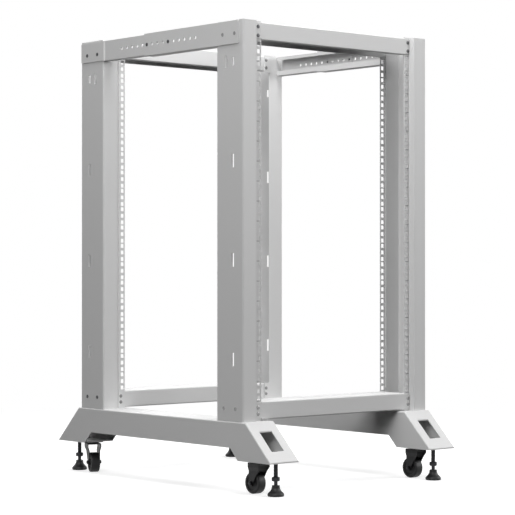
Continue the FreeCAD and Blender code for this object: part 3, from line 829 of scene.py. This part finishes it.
@dataclass
class LevellingFoot:
    """Threaded stud with its hex nut, and the stepped plastic pad under it.

    The crest is the thread's outer radius, and each of its turns has turn_steps.  The sole and the
    collar are the pad's radii at its eased lower and upper edges.  The nut's low and high faces
    and the pad's top are heights over the floor.
    """

    corner: Corner
    crest: float = 5.0
    neck: float = 4.0
    thread_depth: float = 0.55
    pitch: float = 1.5
    taper: float = 0.8
    stud_sides: int = 24
    turn_steps: int = 20
    ridge_sides: int = 4
    nut_across: float = 17.0
    nut_low: float = 33.0
    nut_high: float = 42.5
    nut_chamfer: float = 2.2
    sole: float = 18.0
    sole_ease: float = 1.2
    pad_top: float = 24.0
    collar: float = 8.9
    collar_ease: float = 0.8
    pad_sides: int = 48
    pad_smooth: float = 35.0
    # (radius, height) up the pad's flank, from its rim over the waist to its collar.
    flank: Outline = ((18.45, 3.2), (18.2, 5.2), (17.2, 6.9), (15.2, 9.0), (13.0, 11.2),
                      (11.0, 13.8), (9.8, 16.2), (9.3, 17.4), (9.3, 20.0), (8.2, 20.6),
                      (8.2, 21.2), (8.9, 21.7))

    @property
    def body(self) -> str:
        """Name of the body that slides in the welded nut."""
        return self.corner.label + "_levelling_foot"

    def thread_tree(self) -> tuple[bpy.types.NodeTree, dict[str, str]]:
        """Build the tree that winds one thread round the stud.

        Returns:
            The tree, and the identifier of each named input.
        """
        tree, given, names = geometry_tree("wound_thread", {
            "Base": "Geometry", "Turns": "Float", "Radius": "Float", "Height": "Float",
            "Ridge": "Float", "Finish": "Material"})
        path = add_node(tree, "GeometryNodeCurveSpiral", values={"Resolution": self.turn_steps},
                        links={"Rotations": given.outputs["Turns"],
                               "Start Radius": given.outputs["Radius"],
                               "End Radius": given.outputs["Radius"],
                               "Height": given.outputs["Height"]})
        ridge = add_node(tree, "GeometryNodeCurvePrimitiveCircle", {"mode": "RADIUS"},
                         {"Resolution": self.ridge_sides}, {"Radius": given.outputs["Ridge"]})
        thread = add_node(tree, "GeometryNodeCurveToMesh", values={"Fill Caps": True},
                          links={"Curve": path.outputs[0], "Profile Curve": ridge.outputs[0]})
        both = add_node(tree, "GeometryNodeJoinGeometry", links={0: thread.outputs[0]})
        tree.links.new(given.outputs["Base"], both.inputs[0])
        end_tree(tree, both.outputs[0], given.outputs["Finish"])
        return tree, names

    def axis_place(self) -> tuple[float, float, float, float]:
        """Return the stud's x and y in millimetres and its lowest and highest points."""
        low, high = box_mm(self.corner.label + "_levelling_stud")
        return (low[0] + high[0]) / 2, (low[1] + high[1]) / 2, low[2], high[2]

    def stud(self) -> None:
        """Make the threaded stud with its nut, in place of the plain one."""
        x, y, low, high = self.axis_place()
        core = self.crest - self.thread_depth
        foot, top = low - self.nut_low, high - self.nut_low
        shape = lathe([(0, foot), (self.neck, foot), (self.neck, -self.taper), (core, 0),
                       (core, top - self.taper), (core - self.taper, top), (0, top)],
                      self.stud_sides, Matrix.Identity(4))
        join_into(shape, hex_prism(self.nut_across, self.nut_high - self.nut_low,
                                   self.nut_chamfer, Matrix.Identity(4)))
        carrier = mesh_piece(self.corner.label + "_threaded_stud", shape, BLACK_ZINC)
        length = top - 2 * self.taper
        tree, names = self.thread_tree()
        piece = grown(carrier, tree, names, {
            "Turns": length / self.pitch, "Radius": core * MM, "Height": length * MM,
            "Ridge": self.thread_depth * MM, "Finish": BLACK_ZINC.material()})
        piece.data.transform(Matrix.Translation((x * MM, y * MM, self.nut_low * MM)))
        seat(piece, self.body, "black_plated_steel", self.corner.label + "_levelling_stud")

    def pad(self) -> None:
        """Make the pad as one turned moulding with eased edges."""
        x, y, _, _ = self.axis_place()
        rim = self.sole - self.sole_ease
        profile = [(0.0, 0.0), (rim, 0.0)]
        profile += arc((rim, self.sole_ease), self.sole_ease, start=-85, stop=-10, steps=4)
        profile += self.flank
        profile += arc((self.collar - self.collar_ease, self.pad_top - self.collar_ease),
                       self.collar_ease, start=0, stop=90, steps=4)
        profile += [(0.0, self.pad_top)]
        shape = lathe(profile, self.pad_sides, Matrix.Translation((x * MM, y * MM, 0)))
        piece = mesh_piece(self.corner.label + "_moulded_pad", shape, BLACK_PLASTIC,
                           self.pad_smooth)
        seat(piece, self.body, "black_foot_plastic", self.corner.label + "_levelling_pad")

    def build(self) -> None:
        """Make the stud and the pad."""
        self.stud()
        self.pad()


@dataclass
class Castor:
    """Wheel and axle bolt of one castor.

    The tread, axle, hub and washer_radius are radii.  The tread's rounded shoulder ends
    tread_inset from the wheel's side, and the fork's legs end fork_outside from its middle.
    """

    corner: Corner
    tread: float = 24.0
    width: float = 22.0
    axle: float = 3.55
    hub: float = 7.0
    hub_ease: float = 0.5
    shoulder: float = 2.8
    tread_inset: float = 4.4
    wheel_sides: int = 64
    wheel_smooth: float = 35.0
    # (radius, depth in from the wheel's side) of the dish between the hub and the shoulder.
    dish: Outline = ((7.9, 2.6), (9.0, 3.0), (15.6, 3.0), (16.6, 2.4), (17.0, 0.4), (17.6, 0.0),
                     (19.6, 0.0))
    fork_outside: float = 14.0
    washer_radius: float = 5.6
    washer: float = 0.8
    washer_sides: int = 28
    bolt_across: float = 8.0
    bolt_height: float = 3.2
    bolt_chamfer: float = 0.5
    centre: Vector = field(init=False)
    axis: Vector = field(init=False)

    def __post_init__(self) -> None:
        """Read the wheel's place and axis from the frame's joints."""
        joint = next(j for j in frame["joints"] if j["name"] == self.corner.label + "_roll")
        self.centre = Vector(joint["pos_m"])
        self.axis = Vector(joint["axis"])

    def standing(self) -> Matrix:
        """Return the matrix that lays Z along the axle, centred on the wheel."""
        turn = Vector((0, 0, 1)).rotation_difference(self.axis).to_matrix().to_4x4()
        return Matrix.Translation(self.centre) @ turn

    def wheel(self) -> None:
        """Make the wheel as a turned moulding with a rounded tread and dished sides."""
        half = self.width / 2
        side = [(self.axle, -half), (self.hub, -half)]
        side += arc((self.hub, -half + self.hub_ease), self.hub_ease, start=-90, stop=0, steps=3)
        side += [(radius, -half + depth) for radius, depth in self.dish]
        side += arc((self.tread - self.shoulder, -half + self.shoulder), self.shoulder,
                    start=-90, stop=-8, steps=7)
        side += [(self.tread, -half + self.tread_inset)]
        profile = side + [(radius, -height) for radius, height in reversed(side)]
        shape = lathe(profile + [profile[0]], self.wheel_sides, self.standing())
        bmesh.ops.remove_doubles(shape, verts=shape.verts, dist=WELD_M)
        piece = mesh_piece(self.corner.label + "_moulded_wheel", shape, BLACK_NYLON,
                           self.wheel_smooth)
        seat(piece, self.corner.label + "_castor_roller", "black_castor_plastic",
             self.corner.label + "_castor_wheel")

    def bolt(self) -> None:
        """Make the axle's bolt head and nut, one outside each leg of the fork."""
        shape = bmesh.new()
        rim = self.washer_radius
        for side in (-1, 1):
            placed = self.standing() @ Matrix.Translation((0, 0, side * self.fork_outside * MM))
            if side < 0:
                placed = placed @ Matrix.Rotation(math.pi, 4, "X")
            join_into(shape, lathe([(0, 0), (rim, 0), (rim, self.washer), (0, self.washer)],
                                   self.washer_sides, placed))
            join_into(shape, hex_prism(self.bolt_across, self.bolt_height, self.bolt_chamfer,
                                       placed @ Matrix.Translation((0, 0, self.washer * MM))))
        piece = mesh_piece(self.corner.label + "_axle_bolt", shape, BLACK_ZINC)
        seat(piece, self.corner.label + "_castor_swivel", "black_plated_steel")

    def build(self) -> None:
        """Make the wheel and the bolt."""
        self.wheel()
        self.bolt()


# ------------------------------------------------------------------ stage, light and camera

@dataclass(frozen=True)
class FloorFinish(Finish):
    """Pale studio floor: white to the eye, dull to the light it throws back up.

    Near the rack it takes shadows; from there it fades out into the plain white of the room.
    """

    throw: str = "#202020"
    glow: float = 0.64
    near_m: float = 0.9
    far_m: float = 2.2

    def dress(self, tree: bpy.types.NodeTree) -> None:
        """Fill the material's node tree.

        Args:
            tree: the material's empty tree.
        """
        place = add_node(tree, "ShaderNodeTexCoord")
        reach = add_node(tree, "ShaderNodeVectorMath", {"operation": "LENGTH"},
                         links={0: place.outputs["Object"]})
        fade = add_node(tree, "ShaderNodeMapRange", {"interpolation_type": "SMOOTHSTEP"},
                        {"From Min": self.near_m, "From Max": self.far_m},
                        {"Value": reach.outputs["Value"]})
        dull = add_node(tree, "ShaderNodeBsdfDiffuse", values={"Color": linear(self.throw)})
        pale = add_node(tree, "ShaderNodeBsdfDiffuse", values={"Color": linear(self.colour)})
        glow = add_node(tree, "ShaderNodeEmission",
                        values={"Color": WHITE, "Strength": self.glow})
        white = add_node(tree, "ShaderNodeEmission", values={"Color": WHITE, "Strength": 1.0})
        bright = add_node(tree, "ShaderNodeAddShader",
                          links={0: pale.outputs[0], 1: glow.outputs[0]})
        faded = add_node(tree, "ShaderNodeMixShader",
                         links={0: fade.outputs["Result"], 1: bright.outputs[0],
                                2: white.outputs[0]})
        mixed = add_node(tree, "ShaderNodeMixShader",
                         links={0: plainly_seen(tree), 1: dull.outputs[0], 2: faded.outputs[0]})
        add_node(tree, "ShaderNodeOutputMaterial", links={"Surface": mixed.outputs[0]})


@dataclass(frozen=True)
class Softbox:
    """Square soft lamp: its middle, the point that it faces, its side and its power."""

    name: str
    place_m: Point
    target_m: Point
    side_m: float
    watts: float

    def hang(self) -> None:
        """Hang the lamp."""
        data = bpy.data.lights.new(self.name, "AREA")
        data.shape = "SQUARE"
        data.size = self.side_m
        data.energy = self.watts
        lamp = bpy.data.objects.new(self.name, data)
        lamp.location = self.place_m
        facing = Vector(self.target_m) - Vector(self.place_m)
        lamp.rotation_euler = facing.to_track_quat("-Z", "Y").to_euler()
        bpy.context.scene.collection.objects.link(lamp)


# Three boxes hang over the rack, from above it to the front, for what faces up.  One stands on each
# side for the posts, and one behind for the views from there.
SOFTBOXES = (
    Softbox("overhead_softbox", (0.0, 0.4, 3.6), (0.0, 0.0, 0.5), 2.5, 50.0),
    Softbox("top_softbox", (-0.3, -0.3, 2.2), (0.0, 0.0, 0.5), 0.8, 18.0),
    Softbox("front_softbox", (-0.6, -1.6, 3.0), (0.0, 0.0, 0.6), 2.0, 24.0),
    Softbox("left_softbox", (-4.0, -2.2, 3.0), (0.0, 0.0, 0.6), 2.5, 133.0),
    Softbox("right_softbox", (4.0, -3.0, 2.4), (0.0, 0.0, 0.6), 2.5, 154.0),
    Softbox("back_softbox", (1.6, 4.5, 2.4), (0.0, 0.0, 0.6), 2.5, 90.0),
)


@dataclass
class Studio:
    """Floor, world, soft lamps and the camera."""

    floor_half_m: float = 30.0
    floor_drop_m: float = 0.0002
    camera_m: Point = (-3.0051, -3.4871, 0.49985)
    azimuth: float = -40.92
    look_up: float = 0.307
    lens: float = 133.04
    sensor: float = 36.0
    clip_m: float = 200.0

    def floor(self) -> None:
        """Lay the floor under the rack, a little below the pads so that the two don't fight."""
        shape = bmesh.new()
        bmesh.ops.create_grid(shape, x_segments=1, y_segments=1, size=self.floor_half_m)
        bmesh.ops.translate(shape, verts=shape.verts, vec=(0, 0, -self.floor_drop_m))
        piece = mesh_piece("studio_floor", shape, FloorFinish("studio_floor", "#C8C8C8"))

    def world(self) -> None:
        """Make the room white where it is seen or reflected, and leave the light to the lamps."""
        world = bpy.data.worlds.new("studio_world")
        bpy.context.scene.world = world
        world.use_nodes = True
        tree = world.node_tree
        tree.nodes.clear()
        white = add_node(tree, "ShaderNodeBackground", values={"Color": WHITE, "Strength": 1.0})
        dark = add_node(tree, "ShaderNodeBackground", values={"Color": WHITE, "Strength": 0.0})
        mixed = add_node(tree, "ShaderNodeMixShader",
                         links={0: plainly_seen(tree), 1: dark.outputs[0], 2: white.outputs[0]})
        add_node(tree, "ShaderNodeOutputWorld", links={"Surface": mixed.outputs[0]})

    def camera(self) -> None:
        """Stand the camera off the front left corner, near mid-height, with a long lens."""
        data = bpy.data.cameras.new("camera")
        data.sensor_width = self.sensor
        data.lens = self.lens
        data.clip_end = self.clip_m
        camera = bpy.data.objects.new("camera", data)
        camera.location = self.camera_m
        camera.rotation_euler = (math.radians(90 + self.look_up), 0.0, math.radians(self.azimuth))
        bpy.context.scene.collection.objects.link(camera)
        bpy.context.scene.camera = camera

    def build(self) -> None:
        """Set the stage, the light and the camera."""
        self.floor()
        self.world()
        for softbox in SOFTBOXES:
            softbox.hang()
        self.camera()
        bpy.context.scene.view_settings.view_transform = "Standard"


def main() -> None:
    """Dress the frame and build every piece in order."""
    logging.basicConfig(level=logging.INFO, format="%(message)s")
    pattern = RackPattern.from_frame()
    Studio().build()
    dress_nodes()
    UnitMarks(pattern).build()
    ScrewSet(pattern).build()
    for corner in Corner:
        LevellingFoot(corner).build()
        Castor(corner).build()


if __name__ == "__main__":
    main()
